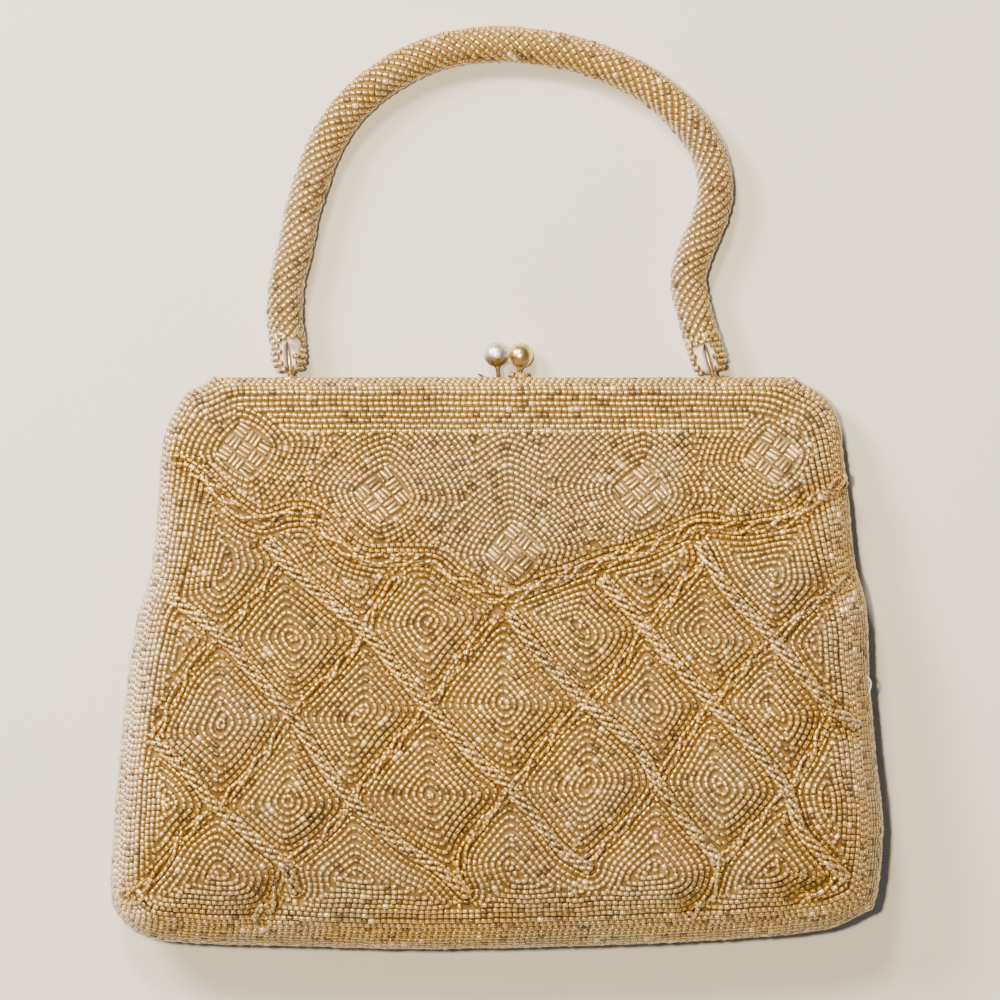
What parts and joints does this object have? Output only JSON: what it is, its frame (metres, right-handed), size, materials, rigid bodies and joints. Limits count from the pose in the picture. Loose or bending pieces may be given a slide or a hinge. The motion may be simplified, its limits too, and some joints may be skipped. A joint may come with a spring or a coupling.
{
  "type": "beaded clutch bag",
  "caption": "Evening bag covered in rows of gold seed beads, with quilted diamonds, a beaded cord lattice, a covered kiss-lock frame and a beaded rope handle, lying on its back.",
  "frame": {"origin": "middle of the flat back of the bag, in the plane it rests on", "axes": "+X across the bag to the right as seen from the front, +Y from the base towards the mouth and the handle, +Z out of the front"},
  "size_m": [0.2146, 0.258, 0.038],
  "materials": {
    "gold_beads": "silver-lined champagne glass beads, glossy",
    "pale_beads": "silver-lined pale glass beads, glossy",
    "amber_beads": "silver-lined amber glass beads, glossy",
    "satin": "ivory satin, slightly soiled",
    "worn_silver": "worn silver plate over brass",
    "brass": "polished, tarnished in the hollows"
  },
  "bodies": {
    "root": {"front_panel": "gold_beads", "back_panel": "gold_beads", "handle_rope": "gold_beads", "quilt_cord_1": "pale_beads", "quilt_cord_2": "pale_beads", "quilt_cord_3": "pale_beads", "quilt_cord_4": "pale_beads", "quilt_cord_5": "pale_beads", "quilt_cord_6": "pale_beads", "cross_cord_1": "amber_beads", "cross_cord_2": "amber_beads", "cross_cord_3": "amber_beads", "cross_cord_4": "amber_beads", "cross_cord_5": "amber_beads", "cross_cord_6": "amber_beads", "cross_cord_7": "amber_beads", "cross_cord_8": "amber_beads", "cross_cord_9": "amber_beads", "cross_cord_10": "amber_beads", "cross_cord_11": "amber_beads", "cross_cord_12": "amber_beads", "cross_cord_13": "amber_beads", "cross_cord_14": "amber_beads", "cross_cord_15": "amber_beads", "cross_cord_16": "amber_beads", "cross_cord_17": "amber_beads", "cross_cord_18": "amber_beads", "cross_cord_19": "amber_beads", "cross_cord_20": "amber_beads", "cross_cord_21": "amber_beads", "cross_cord_22": "amber_beads", "yoke_cord": "amber_beads", "handle_tip_left": "satin", "handle_tip_right": "satin", "frame_front": "worn_silver", "frame_back": "worn_silver", "hinge_pin_left": "worn_silver", "hinge_pin_right": "worn_silver", "clasp_knob_front": "worn_silver", "clasp_knob_back": "brass", "handle_post_left": "brass", "handle_post_right": "brass"}
  },
  "joints": []
}
